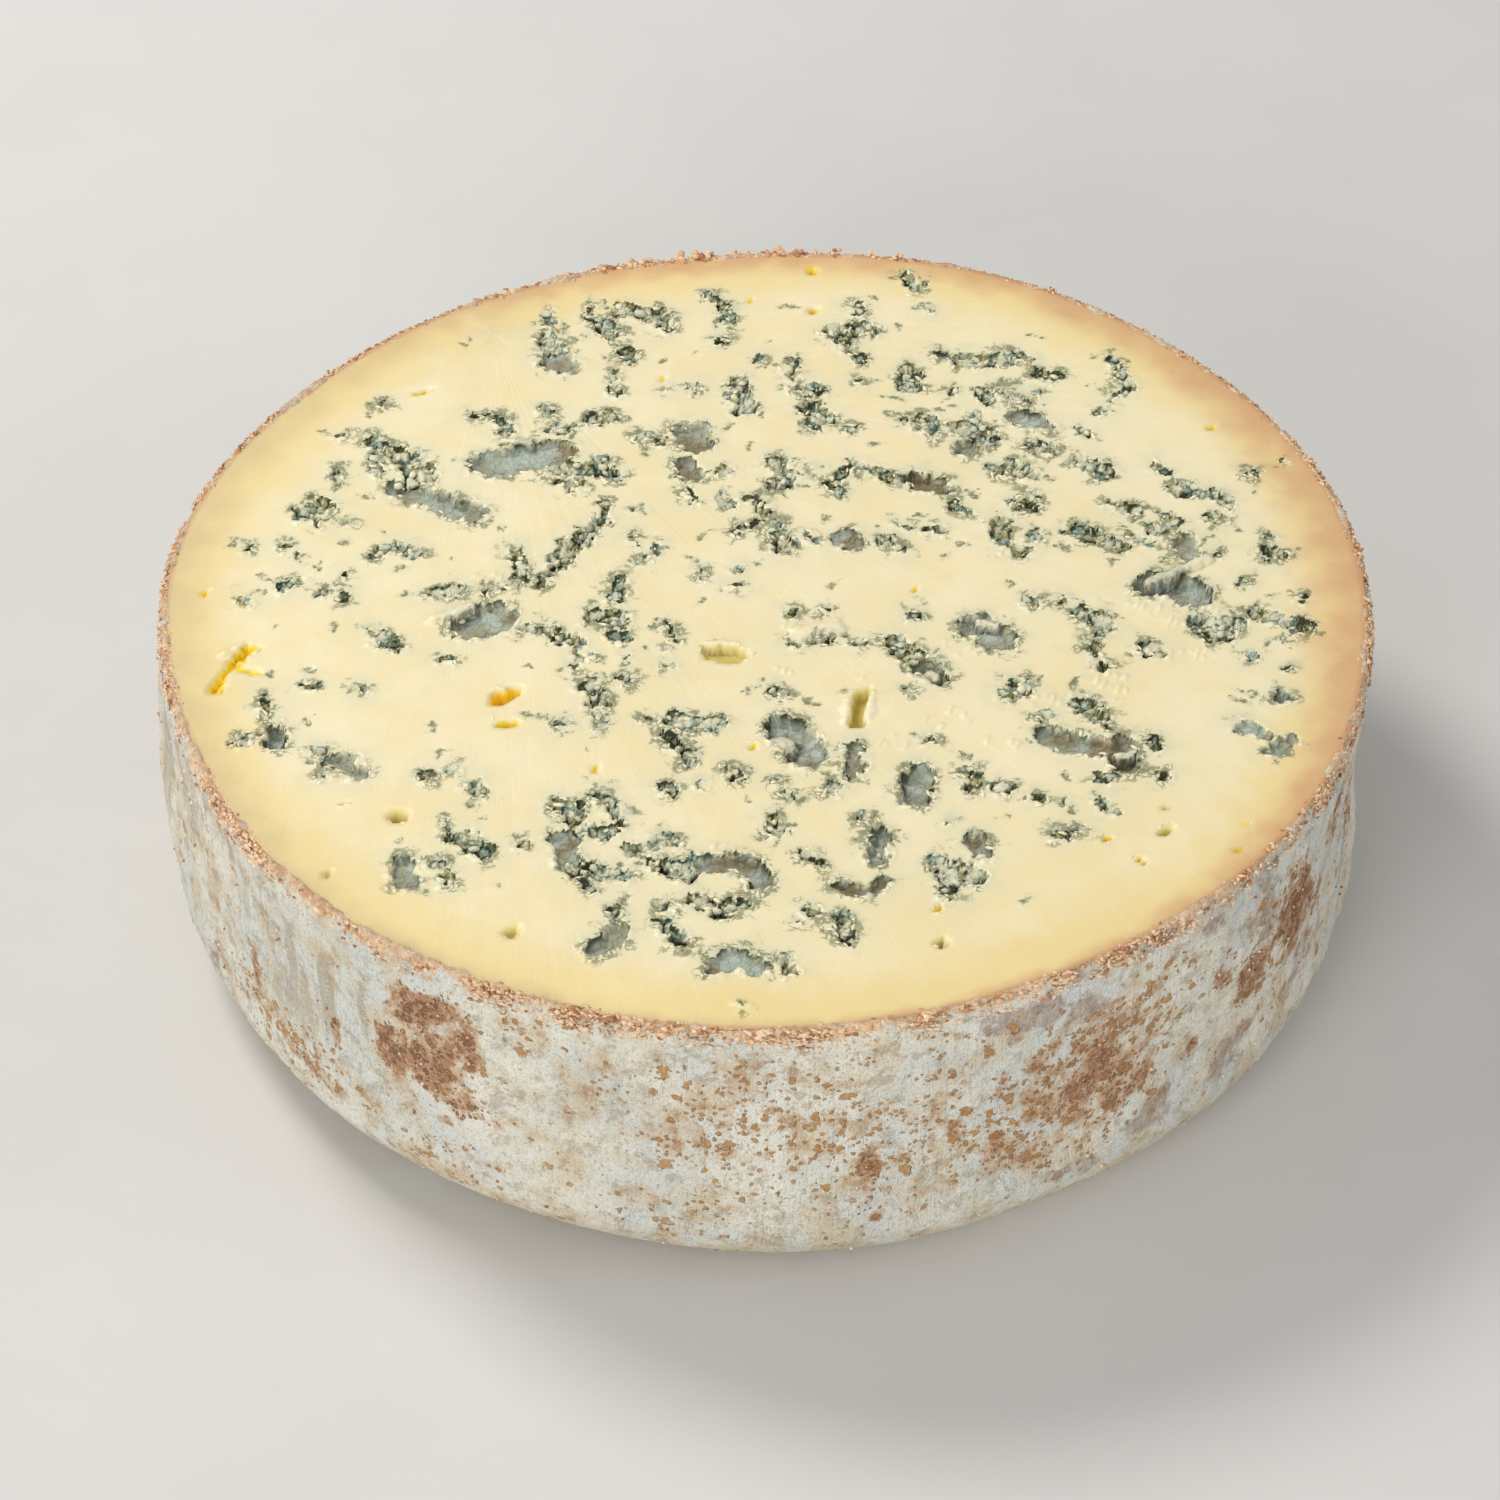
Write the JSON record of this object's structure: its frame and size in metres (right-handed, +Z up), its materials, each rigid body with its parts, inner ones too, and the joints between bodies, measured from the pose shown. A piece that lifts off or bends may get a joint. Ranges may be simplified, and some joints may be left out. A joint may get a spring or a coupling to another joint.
{
  "type": "half wheel of blue cheese",
  "caption": "Lower half of a natural-rind blue cheese wheel, cut across, with mould pockets in the upturned cut face and a crumbly crust round the rim.",
  "frame": {"origin": "middle of the wheel's footprint, on the surface that the wheel stands on", "axes": "+Z up through the cut face along the wheel's axis, +Y to the far side of the wheel, +X to the right"},
  "size_m": [0.2009, 0.2011, 0.0562],
  "materials": {
    "cheese_paste": "satin",
    "cheese_rind": "matte"
  },
  "bodies": {
    "root": {"blue_cheese": "cheese_paste"}
  },
  "joints": []
}
